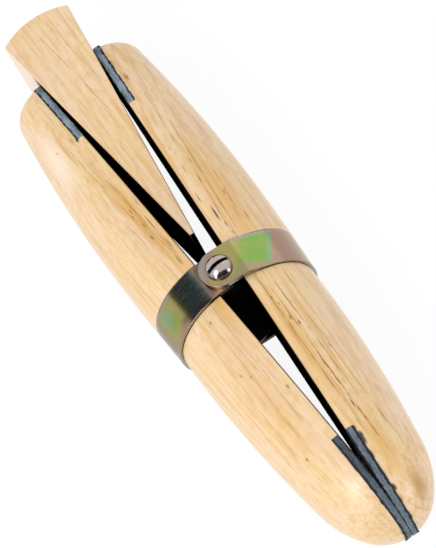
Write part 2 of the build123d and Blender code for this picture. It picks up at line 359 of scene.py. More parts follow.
# The log that each piece was cut from: its pith line across from the piece's axis in mm, how far the
# line tilts in radians, the rings' spacing in mm, how strongly they show, and a seed for the noise
LOGS = {
    "left": {
        "pith": (0, 62, -6), "tilt": (0, 0.006, 0.012), "spacing": 1.5, "strength": 0.14, "seed": 3.1},
    "right": {
        "pith": (0, -58, -30), "tilt": (0, 0.012, -0.02), "spacing": 1.7, "strength": 0.27, "seed": 17.4},
    "wedge": {
        "pith": (0, 70, -12), "tilt": (0, 0.03, 0.075), "spacing": 1.5, "strength": 0.13, "seed": 41.7},
}


RING_SWAY_MM = 4.5  # how far the growth rings wander
# The thin brown line late in each year's growth: where in the year, from 0 to 1, and how strong
LATE_WOOD = ((0.62, (0, 0, 0, 1)), (0.88, (1, 1, 1, 1)), (0.98, (0, 0, 0, 1)))


def growth_rings(tree, place, log):
    """How late in its year the wood grew, from 0 to 1, by its distance from the pith line."""
    sway = grain_noise(tree, place, length=70.0, width=16.0, detail=2.0, seed=log["seed"])
    centred = add_node(tree, "ShaderNodeVectorMath", {"operation": "SUBTRACT"}, {
        0: sway.outputs["Color"], 1: (0.5, 0.5, 0.5)})
    swayed = add_node(tree, "ShaderNodeVectorMath", {"operation": "MULTIPLY_ADD"}, {
        0: centred.outputs[0], 1: (0, RING_SWAY_MM, RING_SWAY_MM), 2: place})
    from_pith = add_node(tree, "ShaderNodeMapping", None, {
        "Vector": swayed.outputs[0], "Location": [-v for v in log["pith"]], "Rotation": log["tilt"]})
    across = add_node(tree, "ShaderNodeVectorMath", {"operation": "MULTIPLY"}, {
        0: from_pith.outputs[0], 1: (0, 1, 1)})
    reach = add_node(tree, "ShaderNodeVectorMath", {"operation": "LENGTH"}, {0: across.outputs[0]})
    rings = add_node(tree, "ShaderNodeMath", {"operation": "DIVIDE"}, {
        0: reach.outputs["Value"], 1: log["spacing"]})
    return add_node(tree, "ShaderNodeMath", {"operation": "FRACT"}, {0: rings.outputs[0]}).outputs[0]


def wood_colour(tree, place, log, wood):
    """Colour of the cut wood and its fine fibre noise."""
    seed = log["seed"]
    late = growth_rings(tree, place, log)
    fibre = grain_noise(tree, place, length=12.0, width=0.34, detail=4.0, seed=seed).outputs[0]
    streaks = grain_noise(tree, place, length=34.0, width=1.3, detail=2.0, seed=seed + 13).outputs[0]
    clouds = grain_noise(tree, place, length=30.0, width=6.0, detail=2.0, seed=seed + 5).outputs[0]
    patchy = grain_noise(tree, place, length=18.0, width=2.2, detail=2.0, seed=seed + 9).outputs[0]
    mottle = grain_noise(tree, place, length=2.4, width=1.4, detail=2.0, seed=seed + 31).outputs[0]

    # pale ground with blush clouds and warm streaks along the grain
    ground = tinted(tree, opaque(wood.straw), wood.blush, between(tree, clouds, 0.4, 0.62))
    ground = tinted(tree, ground, wood.honey, between(tree, streaks, 0.46, 0.7, 0.3 + log["strength"]))
    ground = tinted(tree, ground, wood.honey, between(tree, mottle, 0.42, 0.72, 0.3))

    # each year's late wood, broken up along the grain
    line = add_node(tree, "ShaderNodeValToRGB", None, {0: late})
    set_ramp(line.color_ramp, LATE_WOOD)
    lined = add_node(tree, "ShaderNodeMath", {"operation": "MULTIPLY"}, {
        0: line.outputs[0], 1: between(tree, patchy, 0.4, 0.66, log["strength"], 0.04)})
    ground = tinted(tree, ground, wood.grain, lined.outputs[0])

    # fibres, a little darker, drawn 0.3 mm wide so that they show
    ground = tinted(tree, ground, wood.grain, between(tree, fibre, 0.44, 0.74, 0.22))

    # pores: dashes 2 mm long, drawn 0.25 mm wide so that they show
    pores = grain_noise(tree, place, length=2.0, width=0.25, detail=1.0, seed=seed + 21).outputs[0]
    ground = tinted(tree, ground, wood.fleck, between(tree, pores, 0.68, 0.78, 0.3 * log["strength"] + 0.08))
    return ground, fibre


LINE_CORE_MM = 0.04  # from a late line's middle to where it starts to fade
LINE_EDGE_MM = 0.24  # and to where it is gone
LINE_WAVE_MM = 0.9  # how far it wanders
START_FADE_MM = 3  # how far before and after its start it fades in
END_FADE_MM = 4


def late_lines(tree, colour, place, lines, wood):
    """The colour with long thin lines of late wood, broken up along the grain."""
    split = add_node(tree, "ShaderNodeSeparateXYZ", None, {0: place})
    broken = grain_noise(tree, place, length=5.0, width=1.2, detail=2.0, seed=23.0).outputs[0]
    for start, end, out_at_start, out_at_end, strength in lines:
        line = add_node(tree, "ShaderNodeMapRange", None, {
            "Value": split.outputs["X"], "From Min": start, "From Max": end,
            "To Min": out_at_start, "To Max": out_at_end})
        wave = add_node(tree, "ShaderNodeMath", {"operation": "MULTIPLY_ADD"}, {
            0: broken, 1: LINE_WAVE_MM, 2: line.outputs[0]})
        aside = add_node(tree, "ShaderNodeMath", {"operation": "SUBTRACT"}, {
            0: split.outputs["Y"], 1: wave.outputs[0]})
        distance = add_node(tree, "ShaderNodeMath", {"operation": "ABSOLUTE"}, {0: aside.outputs[0]})
        thin = between(tree, distance.outputs[0], LINE_EDGE_MM, LINE_CORE_MM, strength)
        ends = add_node(tree, "ShaderNodeMath", {"operation": "MULTIPLY"}, {
            0: between(tree, split.outputs["X"], start - START_FADE_MM, start + START_FADE_MM),
            1: between(tree, split.outputs["X"], end + END_FADE_MM, end - END_FADE_MM)})
        shown = add_node(tree, "ShaderNodeMath", {"operation": "MULTIPLY"}, {0: thin, 1: ends.outputs[0]})
        patchy = add_node(tree, "ShaderNodeMath", {"operation": "MULTIPLY"}, {
            0: shown.outputs[0], 1: between(tree, broken, 0.62, 0.42, 1.0, 0.15)})
        colour = tinted(tree, colour, wood.grain, patchy.outputs[0])
    return colour


def marked(tree, colour, place, side_name, fibre, wood):
    """The colour with its stains, late lines, dark flecks and glue, ragged along the grain."""
    colour = stained(tree, colour, place, JAW_STAINS[side_name], wood)
    colour = late_lines(tree, colour, place, LATE_LINES[side_name], wood)
    ragged = between(tree, fibre, 0.36, 0.56, 1.0, 0.3)
    for centre, half_sizes, strength in JAW_MARKS[side_name]:
        inside = spot(tree, place, centre, half_sizes, 0.2, strength)
        amount = add_node(tree, "ShaderNodeMath", {"operation": "MULTIPLY"}, {0: inside, 1: ragged})
        colour = tinted(tree, colour, wood.fleck, amount.outputs[0])
    for centre, half_sizes in GLUE_DRIPS[side_name]:
        inside = spot(tree, place, centre, half_sizes, 0.3)
        amount = add_node(tree, "ShaderNodeMath", {"operation": "MULTIPLY"}, {
            0: inside, 1: between(tree, fibre, 0.3, 0.5, 0.97, 0.8)})
        colour = tinted(tree, colour, wood.sawn, amount.outputs[0])
    return colour


def waxed_surface(tree, colour, fibre, sawn, bare, wood):
    """Shader of turned, sanded and waxed wood with a soft gloss, and matte black painted shade where it is
    sawn.

    Sawn is 1 where the face is painted black as shade. Bare is how much brown wood shows through
    the black along the fibres, as a number or a node's output.
    """
    relief = add_node(tree, "ShaderNodeBump", None, {
        "Height": fibre, "Strength": 0.25, "Distance": 0.02 * MM})
    waxed = add_node(tree, "ShaderNodeBsdfPrincipled", None, {
        "Base Color": colour, "Roughness": between(tree, fibre, 0.3, 0.7, 0.46, 0.36), "IOR": 1.5,
        "Coat Weight": 0.5, "Coat Roughness": 0.24, "Normal": relief.outputs[0]})
    # matte black of the painted shade, with a little brown along the fibres
    painted_shade = add_node(tree, "ShaderNodeBsdfDiffuse", None, {
        "Color": tinted(tree, opaque(wood.sawn), wood.fleck, between(tree, fibre, 0.3, 0.8, bare))})
    return add_node(tree, "ShaderNodeMixShader", None, {
        0: sawn, 1: waxed.outputs[0], 2: painted_shade.outputs[0]})


# How far out of a jaw's flat face its wood stays painted black as shade, and from where it shows its own
# colour, in mm
BLACK_EDGE_MM = 0.12
UNSHADED_FROM_MM = 0.28


def jaw_wood(side_name, wood):
    """Beech, turned on a lathe, sawn in half, sanded and waxed.

    Turning lays the growth rings open as long fine lines. Wax gives a soft sheen. The sawn faces
    are painted black, as painted shade in the gap between the jaws.
    """
    material, tree = new_material(f"turned_beech_{side_name}")
    place = in_jaw_mm(tree, SIDES[side_name])
    colour, fibre = wood_colour(tree, place, LOGS[side_name], wood)
    colour = marked(tree, colour, place, side_name, fibre, wood)
    height = add_node(tree, "ShaderNodeSeparateXYZ", None, {0: place}).outputs["Y"]
    # paint the sawn face and the wood just beside it black, as shade in the gap
    sawn = between(tree, height, UNSHADED_FROM_MM, BLACK_EDGE_MM)
    return with_surface(material, waxed_surface(tree, colour, fibre, sawn, bare=0.06, wood=wood))


# Along the wedge from the pivot, in mm: where the black painted shade on the sides and tip begins and is
# full, and between which places the brown under it fades out towards the tip
SHADE_FROM_MM = -72.5
SHADE_FULL_MM = -68.0
BROWN_TO_MM = -50.0
BROWN_GONE_MM = -36.0
ON_SIDE = (0.8, 0.96)  # how squarely a face looks sideways
ON_TIP = (0.3, 0.7)  # and towards the nose


def wedge_wood(wood):
    """Beech, sawn and sanded flat, waxed.

    Its grain runs a little across its length. The sides are painted pale at the driving end, as painted
    light. Further in, where they slide between the linings, they and the tip are painted black as shade.
    """
    material, tree = new_material("sawn_beech_wedge")
    place = in_clamp_mm(tree)
    colour, fibre = wood_colour(tree, place, LOGS["wedge"], wood)
    colour = late_lines(tree, colour, place, LATE_LINES["wedge"], wood)
    way = facing(tree)
    sideways = add_node(tree, "ShaderNodeMath", {"operation": "ABSOLUTE"}, {0: way["Y"]})
    along = add_node(tree, "ShaderNodeSeparateXYZ", None, {0: place}).outputs["X"]
    # paint the sideways faces paler, as painted light on the wedge's sides
    colour = tinted(tree, colour, wood.cream, between(tree, sideways.outputs[0], *ON_SIDE, 0.6))
    # paint the sides and the tip black from the driving end towards the tip, as painted shade between the
    # linings
    not_top = add_node(tree, "ShaderNodeMath", {"operation": "MAXIMUM"}, {
        0: between(tree, sideways.outputs[0], *ON_SIDE), 1: between(tree, way["X"], *ON_TIP)})
    shade_on_sides = add_node(tree, "ShaderNodeMath", {"operation": "MULTIPLY"}, {
        0: not_top.outputs[0], 1: between(tree, along, SHADE_FROM_MM, SHADE_FULL_MM)})
    brown = between(tree, along, BROWN_GONE_MM, BROWN_TO_MM, 0.6)
    surface = waxed_surface(tree, colour, fibre, shade_on_sides.outputs[0], bare=brown, wood=wood)
    return with_surface(material, surface)


# Glue that has soaked into the leather's edge: centre in the jaw's own frame and half sizes, in mm
GLUE_STAINS = [((52.0, 2.0, 12.6), (1.6, 0.6, 1.5)), ((61.9, 2.0, 9.6), (1.2, 0.5, 1.5)),
               ((57.0, 2.1, 11.6), (0.9, 0.35, 1.5)), ((-52.5, 2.0, 11.4), (1.6, 0.4, 1.5))]
# Each nose lining's cut edge is darker towards its inner end, fading out towards the tip: where along the
# jaw it starts to fade and where it would be gone, in mm, and how dark it is
DARKER_INWARD = {"left": (50.0, 86.0, 0.75), "right": (60.0, 100.0, 0.42)}
TAIL_DRY_MM = (5.0, -5.0)  # along the jaw, where the darker band along both faces thins towards the tail
NOSE_DRY_MM = (55.0, 64.0)


def lining_leather(side_name, leather):
    """Chrome-tanned leather, dyed blue-grey and cut with a knife.

    The two faces are smooth and dark, and the cut edge between them is paler and fibrous. Towards both
    faces the edge darkens, partly by dye and partly as painted shade where it rounds over.
    """
    material, tree = new_material(f"dyed_leather_{side_name}")
    place = in_jaw_mm(tree, SIDES[side_name])
    depth = add_node(tree, "ShaderNodeSeparateXYZ", None, {0: place})
    fibres = grain_noise(tree, place, length=2.6, width=0.3, detail=4.0, seed=2.0).outputs[0]
    worn = grain_noise(tree, place, length=5.0, width=2.5, detail=2.0, seed=8.0).outputs[0]
    ragged = grain_noise(tree, place, length=1.1, width=0.9, detail=3.0, seed=14.0).outputs[0]

    # how far the cut edge darkens in from both faces, partly dye soaked in and partly painted shade on
    # the rounded edge: unevenly, and less at the tail and the nose tip
    off_middle = add_node(tree, "ShaderNodeMath", {"operation": "SUBTRACT"}, {
        0: depth.outputs["Y"], 1: LINING_MIDDLE_MM})
    from_middle = add_node(tree, "ShaderNodeMath", {"operation": "ABSOLUTE"}, {0: off_middle.outputs[0]})
    soaked = add_node(tree, "ShaderNodeMath", {"operation": "MULTIPLY_ADD"}, {
        0: ragged, 1: 0.9, 2: from_middle.outputs[0]})
    along = depth.outputs["X"]
    dry = add_node(tree, "ShaderNodeMath", {"operation": "ADD"}, {
        0: between(tree, along, *TAIL_DRY_MM, 0.14), 1: between(tree, along, *NOSE_DRY_MM, 0.06)})
    dyed = add_node(tree, "ShaderNodeMath", {"operation": "SUBTRACT"}, {
        0: soaked.outputs[0], 1: dry.outputs[0]})

    # the cut edge: dark fibres, paler where it is worn, darker towards each nose lining's inner end
    cut = tinted(tree, opaque(leather.core), leather.skin, between(tree, fibres, 0.36, 0.68, 0.5))
    cut = tinted(tree, cut, leather.core_light, between(tree, worn, 0.5, 0.72, 0.6))
    thinning, gone, darkness = DARKER_INWARD[side_name]
    inward_darkening = add_node(tree, "ShaderNodeMath", {"operation": "MULTIPLY"}, {
        0: between(tree, along, gone, thinning, darkness), 1: between(tree, along, 0.0, 20.0)})
    cut = tinted(tree, cut, leather.skin, inward_darkening.outputs[0])
    # the dark band along both faces: partly dye, partly painted shade of the rounded edge
    colour = tinted(tree, cut, leather.skin, between(tree, dyed.outputs[0], 0.84, 1.1))
    for centre, half_sizes in GLUE_STAINS:
        colour = tinted(tree, colour, leather.glue, spot(tree, place, centre, half_sizes, 0.3))

    height = add_node(tree, "ShaderNodeMath", {"operation": "ADD"}, {0: fibres, 1: ragged})
    relief = add_node(tree, "ShaderNodeBump", None, {
        "Height": height.outputs[0], "Strength": 0.7, "Distance": 0.1 * MM})
    shader = add_node(tree, "ShaderNodeBsdfPrincipled", None, {
        "Base Color": colour, "Roughness": 0.75, "IOR": 1.45, "Normal": relief.outputs[0]})
    return with_surface(material, shader)


# The chromate film's tints round each half strap, laid by which way the strap faces, so partly the film's
# own colours and partly painted reflection: angle from the top of the clamp in radians, and tint
FILM_START = -0.4
FILM_SPAN = 3.6
FILM_AND_REFLECTION = {
    "right": ((-0.4, "violet"), (-0.32, "rose"), (-0.2, "olive"), (0.08, "olive"), (0.2, "green_gold"),
              (0.58, "green_gold"), (0.68, "teal"), (0.73, "rose"), (1.15, "rose"), (1.45, "olive"),
              (1.9, "green_gold"), (2.3, "rose"), (2.8, "olive")),
    "left": ((-0.4, "umber_and_dark_reflection"), (0.12, "umber_and_dark_reflection"), (0.22, "slate"), (0.53, "slate"), (0.62, "olive"),
             (1.1, "olive"), (1.45, "umber_and_dark_reflection"), (1.9, "violet"), (2.3, "olive"), (2.8, "rose")),
}
FILM_SLANT = {"right": 0.036, "left": 0.0}  # how far the bands turn for each mm along the jaw
EDGE_ON = (0.8, 0.95)  # how squarely the strip's cut edges face along the jaw
ROSE_EDGE_MM = (4.0, 5.6)  # along the jaw, where the nose side's edge turns rose
VIOLET_EDGE_MM = (-4.7, -5.7)
EDGE_WANDER_MM = 2.6
PAST_LAP = (0.0, 0.2)  # angle, where the strip has left the lap
BACK_OF_GAP = (2.6, 2.8)  # angle, where the strip passes behind the gap
UNDER_LAP = (0.26, 0.16)  # angle, where the left strip goes under the right one
# Spots in the film: centre in the jaw's own frame and half sizes, in mm, tint and strength. The dark brown
# one beside the lap is painted dark reflection.
FILM_SPOTS = {
    "right": [
        ((2.8, 1.5, 15.5), (1.7, 3.4, 2.0), "rose", 0.75),
    ],
    "left": [
        ((0.4, 11.0, 9.4), (3.4, 4.2, 4.2), "green_gold", 0.75),
        ((-1.9, 11.8, 8.5), (3.2, 3.8, 3.8), "teal", 0.95),
        ((3.2, 8.9, 11.5), (2.2, 3.0, 3.0), "umber_and_dark_reflection", 0.8),
    ],
}


def chromate_strap(side_name, metal):
    """Spring steel, zinc plated and yellow chromated.

    The thin film shifts from olive gold to green, rose brown and grey violet, patch by patch
    and along the edges, over the fine rolling lines of the strip. Its tints by the way the strap faces,
    and the dark brown beside the lap, are partly painted reflection.
    """
    material, tree = new_material(f"yellow_chromate_{side_name}")
    place = in_jaw_mm(tree, SIDES[side_name])
    split = add_node(tree, "ShaderNodeSeparateXYZ", None, {0: place})
    angle = add_node(tree, "ShaderNodeMath", {"operation": "ARCTAN2"}, {
        0: split.outputs["Y"], 1: split.outputs["Z"]})
    film = add_node(tree, "ShaderNodeTexNoise", None, {
        "Vector": place, "Scale": 0.22, "Detail": 3.0, "Roughness": 0.5}).outputs[0]
    slanted = add_node(tree, "ShaderNodeMath", {"operation": "MULTIPLY_ADD"}, {
        0: split.outputs["X"], 1: FILM_SLANT[side_name], 2: angle.outputs[0]})
    wander = add_node(tree, "ShaderNodeMath", {"operation": "MULTIPLY_ADD"}, {
        0: film, 1: 0.1, 2: slanted.outputs[0]})
    along_film = add_node(tree, "ShaderNodeMapRange", None, {
        "Value": wander.outputs[0], "From Min": FILM_START, "From Max": FILM_START + FILM_SPAN})
    # tints by angle round the strap, that is by which way it faces: partly the film's colours, partly
    # painted reflection
    film_and_reflection_bands = add_node(tree, "ShaderNodeValToRGB", None, {0: along_film.outputs[0]})
    set_ramp(film_and_reflection_bands.color_ramp, [
        ((at_angle - FILM_START) / FILM_SPAN, opaque(getattr(metal, tint)))
        for at_angle, tint in FILM_AND_REFLECTION[side_name]])
    colour = tinted(tree, film_and_reflection_bands.outputs[0], metal.olive, between(tree, film, 0.5, 0.7, 0.45))
    colour = tinted(tree, colour, metal.rose, between(tree, film, 0.46, 0.3, 0.35))
    colour = stained(tree, colour, place, FILM_SPOTS[side_name], metal)

    # rose along the edge on the nose side, grey violet along the other
    inward = add_node(tree, "ShaderNodeMath", {"operation": "MULTIPLY_ADD"}, {
        0: film, 1: EDGE_WANDER_MM, 2: split.outputs["X"]})
    colour = tinted(tree, colour, metal.rose, between(tree, inward.outputs[0], *ROSE_EDGE_MM, 0.8))
    outward = add_node(tree, "ShaderNodeMath", {"operation": "MULTIPLY_ADD"}, {
        0: film, 1: -EDGE_WANDER_MM, 2: split.outputs["X"]})
    strip = add_node(tree, "ShaderNodeMath", {"operation": "MULTIPLY"}, {
        0: between(tree, outward.outputs[0], *VIOLET_EDGE_MM, 0.85),
        1: between(tree, angle.outputs[0], *PAST_LAP)})
    colour = tinted(tree, colour, metal.violet, strip.outputs[0])

    # the strip's cut edges, where the film is thin
    way = facing(tree)
    endways = add_node(tree, "ShaderNodeMath", {"operation": "ABSOLUTE"}, {0: way["X"]})
    colour = tinted(tree, colour, metal.slate, between(tree, endways.outputs[0], *EDGE_ON, 0.8))

    # painted shade behind the gap, on the strip's edges and its inner face
    inside = add_node(tree, "ShaderNodeMath", {"operation": "MAXIMUM"}, {
        0: between(tree, endways.outputs[0], *EDGE_ON), 1: between(tree, way["Z"], 0.2, 0.6)})
    round_angle = add_node(tree, "ShaderNodeMath", {"operation": "ABSOLUTE"}, {0: angle.outputs[0]})
    painted_gap_shade = add_node(tree, "ShaderNodeMath", {"operation": "MULTIPLY"}, {
        0: inside.outputs[0], 1: between(tree, round_angle.outputs[0], *BACK_OF_GAP)})
    colour = tinted(tree, colour, metal.slot, painted_gap_shade.outputs[0])
    if side_name == "left":  # and on its edges under the lap at the front
        # painted shade on the left strip's edges where the right strip laps over it
        under_lap = add_node(tree, "ShaderNodeMath", {"operation": "MULTIPLY"}, {
            0: between(tree, endways.outputs[0], *EDGE_ON), 1: between(tree, angle.outputs[0], *UNDER_LAP)})
        colour = tinted(tree, colour, metal.slot, under_lap.outputs[0])

    # fine rolling lines across the strip, drawn 0.2 mm apart so that they show
    lines = grain_noise(tree, place, length=0.2, width=2.5, detail=3.0, seed=0.0, roughness=0.5).outputs[0]
    rounded = add_node(tree, "ShaderNodeBevel", {"samples": 4}, {"Radius": 0.22 * MM})
    relief = add_node(tree, "ShaderNodeBump", None, {
        "Height": lines, "Strength": 0.3, "Distance": 0.01 * MM, "Normal": rounded.outputs[0]})
    shader = add_node(tree, "ShaderNodeBsdfPrincipled", None, {
        "Base Color": colour, "Metallic": 1.0, "Roughness": between(tree, lines, 0.3, 0.7, 0.24, 0.16),
        "Normal": relief.outputs[0]})
    return with_surface(material, shader)


def nickel_screw(metal):
    """Steel screw, turned, slotted and bright nickel plated.

    The plating mirrors the lamps, a little duller where it is worn. The slot is darker, and the rim
    is painted darker as a painted reflection of darker surroundings.
    """
    material, tree = new_material("bright_nickel")
    place = in_clamp_mm(tree)
    wear = add_node(tree, "ShaderNodeTexNoise", None, {
        "Vector": place, "Scale": 1.3, "Detail": 4.0, "Roughness": 0.6}).outputs[0]
    upright = add_node(tree, "ShaderNodeMath", {"operation": "ABSOLUTE"}, {0: facing(tree)["Z"]})
    height = add_node(tree, "ShaderNodeSeparateXYZ", None, {0: place}).outputs["Z"]
    from_middle = add_node(tree, "ShaderNodeMath", {"operation": "ABSOLUTE"}, {0: height})
    above_rim = add_node(tree, "ShaderNodeMath", {"operation": "GREATER_THAN"}, {
        0: from_middle.outputs[0], 1: HEAD_RIM_MM + 0.05})
    slot_wall = add_node(tree, "ShaderNodeMath", {"operation": "MULTIPLY"}, {
        0: between(tree, upright.outputs[0], 0.12, 0.02, 0.6), 1: above_rim.outputs[0]})
    slot_floor = add_node(tree, "ShaderNodeMath", {"operation": "MULTIPLY"}, {
        0: between(tree, upright.outputs[0], 0.998, 0.9995),
        1: between(tree, from_middle.outputs[0], SLOT_FLOOR_MM + 0.15, SLOT_FLOOR_MM + 0.05)})
    from_axis = add_node(tree, "ShaderNodeVectorMath", {"operation": "MULTIPLY"}, {0: place, 1: (1, 1, 0)})
    reach = add_node(tree, "ShaderNodeVectorMath", {"operation": "LENGTH"}, {0: from_axis.outputs[0]})
    # the rim painted darker, as painted reflection
    rim = between(tree, reach.outputs["Value"], HEAD_UNDARKENED_MM, HEAD_RADIUS_MM, 0.7)
    colour = tinted(tree, opaque(metal.nickel), metal.slot, rim)
    # darker on the slot's walls and floor
    colour = tinted(tree, colour, metal.slot, slot_wall.outputs[0])
    colour = tinted(tree, colour, metal.slot, slot_floor.outputs[0])
    rounded = add_node(tree, "ShaderNodeBevel", {"samples": 4}, {"Radius": 0.12 * MM})
    shader = add_node(tree, "ShaderNodeBsdfPrincipled", None, {
        "Base Color": colour, "Metallic": 1.0, "Roughness": between(tree, wear, 0.35, 0.7, 0.22, 0.1),
        "Normal": rounded.outputs[0]})
    return with_surface(material, shader)


def black_post(metal):
    """Round steel bar, turned to size, oily with polishing dust.

    It is painted almost black, as painted shade deep in the gap, with faint turning rings and hardly any
    shine.
    """
    material, tree = new_material("blackened_steel")
    place = in_clamp_mm(tree)
    rings = add_node(tree, "ShaderNodeMapping", None, {"Vector": place, "Scale": (0.3, 0.3, 4.0)})
    turning = add_node(tree, "ShaderNodeTexNoise", None, {
        "Vector": rings.outputs[0], "Scale": 1.0, "Detail": 3.0}).outputs[0]
    oily = between(tree, turning, 0.4, 0.8, 0.3)
    shader = add_node(tree, "ShaderNodeBsdfPrincipled", None, {
        "Base Color": tinted(tree, opaque(metal.post_shade_black), metal.slot, oily),
        "Roughness": between(tree, turning, 0.3, 0.7, 0.9, 0.8), "IOR": 1.45, "Specular IOR Level": 0.02})
    return with_surface(material, shader)


def finish_node(node, material):
    """Give a CAD node its material in every slot it has."""
    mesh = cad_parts[node].data
    if not mesh.materials:
        mesh.materials.append(material)
    for index in range(len(mesh.materials)):
        mesh.materials[index] = material


def select_only(piece):
    """Deselect everything, then select one object and make it active."""
    bpy.ops.object.select_all(action="DESELECT")
    piece.select_set(True)
    bpy.context.view_layer.objects.active = piece


def apply_modifier(piece, kind, **settings):
    """Add a modifier, set it and apply it."""
    modifier = piece.modifiers.new(kind.title(), kind)
    for name, value in settings.items():
        setattr(modifier, name, value)
    bpy.ops.object.modifier_apply(modifier=modifier.name)


# How deep under a lining's free face its glued border begins, and over how much more depth it
# grows ragged, in mm
BORDER_START_MM = 0.5
BORDER_DEPTH_MM = 0.8
# Clouds that push a lining's edge about: size in mm, strength against the raggedness setting, the
# vertices and the way. NORMAL is out of the surface and Y is away from the gap.
EDGE_CLOUDS = {
    "waves": (2.6, 1.0, "cut_edge", "NORMAL"),
    "fibres": (0.8, 0.5, "cut_edge", "NORMAL"),
    "bulges": (3.2, 3.2, "glued_border", "Y"),
    "nicks": (1.2, 1.3, "glued_border", "Y"),
}
CLOUD_MEAN = 0.42  # a cloud this bright moves nothing
WELD_MM = 0.001  # vertices nearer than this are merged


def rim_weights(mesh, side):
    """Each vertex's index, how much it belongs to the rim, and how much to the rim's border on the wood.

    A weight is 1 on the rim and 0 on the leather's two faces.
    """
    across = Matrix.Rotation(-JAW_LEAN * side, 3, "Z") @ Vector((0, 1, 0))
    for vertex in mesh.vertices:
        rim = 1 - vertex.normal.dot(across) ** 2
        from_face = (vertex.co - PIVOT).dot(across) * side * TO_MM - HALF_GAP_MM
        depth = (from_face - BORDER_START_MM) / BORDER_DEPTH_MM
        yield vertex.index, rim, rim * min(1.0, max(0.0, depth))


def make_lining(name, node, side, leather):
    """A strip of leather in the space of its CAD solid, with soft arrises and a ragged cut edge."""
    mesh = bpy.data.meshes.new_from_object(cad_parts[node])
    mesh.name = name
    mesh.materials.clear()
    piece = bpy.data.objects.new(name, mesh)
    bpy.context.scene.collection.objects.link(piece)
    select_only(piece)
    bpy.ops.object.mode_set(mode="EDIT")
    bpy.ops.mesh.select_all(action="SELECT")
    bpy.ops.mesh.remove_doubles(threshold=WELD_MM * MM)
    bpy.ops.mesh.normals_make_consistent(inside=False)
    bpy.ops.object.mode_set(mode="OBJECT")
    apply_modifier(piece, "REMESH", mode="VOXEL", voxel_size=leather.voxel)
    apply_modifier(piece, "SMOOTH", factor=0.5, iterations=3)
    edge = piece.vertex_groups.new(name="cut_edge")
    border = piece.vertex_groups.new(name="glued_border")
    for index, on_rim, on_border in rim_weights(piece.data, side):
        edge.add([index], on_rim, "REPLACE")
        border.add([index], on_border, "REPLACE")
    for label, (size, strength, group, way) in EDGE_CLOUDS.items():
        texture = bpy.data.textures.new(f"{name}_{label}", "CLOUDS")
        texture.noise_scale = size * MM
        signed = strength * side if way == "Y" else strength
        apply_modifier(piece, "DISPLACE", texture=texture, texture_coords="LOCAL", mid_level=CLOUD_MEAN,
                       strength=leather.raggedness * signed, vertex_group=group, direction=way)
    apply_modifier(piece, "SMOOTH", factor=0.5, iterations=1)
    bpy.ops.object.shade_smooth()
    return piece


class RING_CLAMP_OT_wood(bpy.types.Operator):
    """Wax the two turned jaws and the wedge"""
    bl_idname = "ring_clamp.wood"
    bl_label = "Waxed wood"

    def execute(self, context):
        wood = context.scene.ring_clamp.wood
        for side_name in SIDES:
            finish_node(f"{side_name}_jaw", jaw_wood(side_name, wood))
        finish_node("wedge", wedge_wood(wood))
        return {"FINISHED"}


class RING_CLAMP_OT_linings(bpy.types.Operator):
    """Cut and dye the four leather linings"""
    bl_idname = "ring_clamp.linings"
    bl_label = "Leather linings"

    def execute(self, context):
        leather = context.scene.ring_clamp.leather
        for side_name, side in SIDES.items():
            material = lining_leather(side_name, leather)
            for end in ("nose", "tail"):
                node = f"{side_name}_{end}_pad"
                piece = make_lining(f"{side_name}_{end}_lining", node, side, leather)
                piece.data.materials.append(material)
                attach(piece, f"{side_name}_half")
                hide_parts(node)
        return {"FINISHED"}


class RING_CLAMP_OT_hardware(bpy.types.Operator):
    """Plate the two strap halves and the screws, and paint the post almost black as shade in the gap"""
    bl_idname = "ring_clamp.hardware"
    bl_label = "Strap, screws and post"

    def execute(self, context):
        metal = context.scene.ring_clamp.metal
        for side_name in SIDES:
            finish_node(f"{side_name}_strap", chromate_strap(side_name, metal))
        screw = nickel_screw(metal)
        finish_node("front_screw", screw)
        finish_node("back_screw", screw)
        finish_node("pivot_post", black_post(metal))
        return {"FINISHED"}


def studio_point(azimuth, elevation, distance):
    """A place round the pivot: azimuth from +X towards +Y and elevation, in degrees, distance in m."""
    flat = cos(radians(elevation))
    return PIVOT + distance * Vector((
        flat * cos(radians(azimuth)), flat * sin(radians(azimuth)), sin(radians(elevation))))


def face_pivot(thing, place):
    """Put a lamp at a place, facing the pivot."""
    thing.location = place
    thing.rotation_euler = (PIVOT - place).to_track_quat("-Z", "Y").to_euler()


# Soft boxes: azimuth and elevation in degrees, distance, width and height in m, power in W
SOFT_BOXES = {
    "front_soft_box": (-64, 46, 0.90, 0.30, 0.46, 3.3),
    "low_soft_box": (-59, 18, 0.90, 0.16, 0.16, 0.5),
    "side_soft_box": (48, 12, 0.90, 0.26, 0.26, 1.1),
    "back_soft_box": (122, 30, 0.90, 0.50, 0.75, 0.4),
}


def add_soft_boxes():
    for name, (azimuth, elevation, distance, width, height, power) in SOFT_BOXES.items():
        bpy.ops.object.light_add(type="AREA")
        lamp = bpy.context.object
        lamp.name = name
        lamp.data.shape = "RECTANGLE"
        lamp.data.size = width
        lamp.data.size_y = height
        lamp.data.energy = power
        lamp.visible_camera = False
        face_pivot(lamp, studio_point(azimuth, elevation, distance))


def black_felt():
    """Material of the flags: black felt, with the even dark grey that the metal mirrors."""
    material, tree = new_material("black_felt")
    shader = add_node(tree, "ShaderNodeEmission", None, {
        "Color": opaque(linear("#323b40")), "Strength": 1.0})
    return with_surface(material, shader)


# Black flags, seen only by mirrors: turn about X, Y and Z in degrees, distance along the turned
# Z axis, shift along the turned X axis, width and height, all in m
FLAGS = {
    "strap_flag": ((38, 0, 0), 0.70, -0.40, 0.52, 0.72),
    "screw_flag": ((54, 0, 82), 1.30, 0.0, 2.20, 0.90),
}


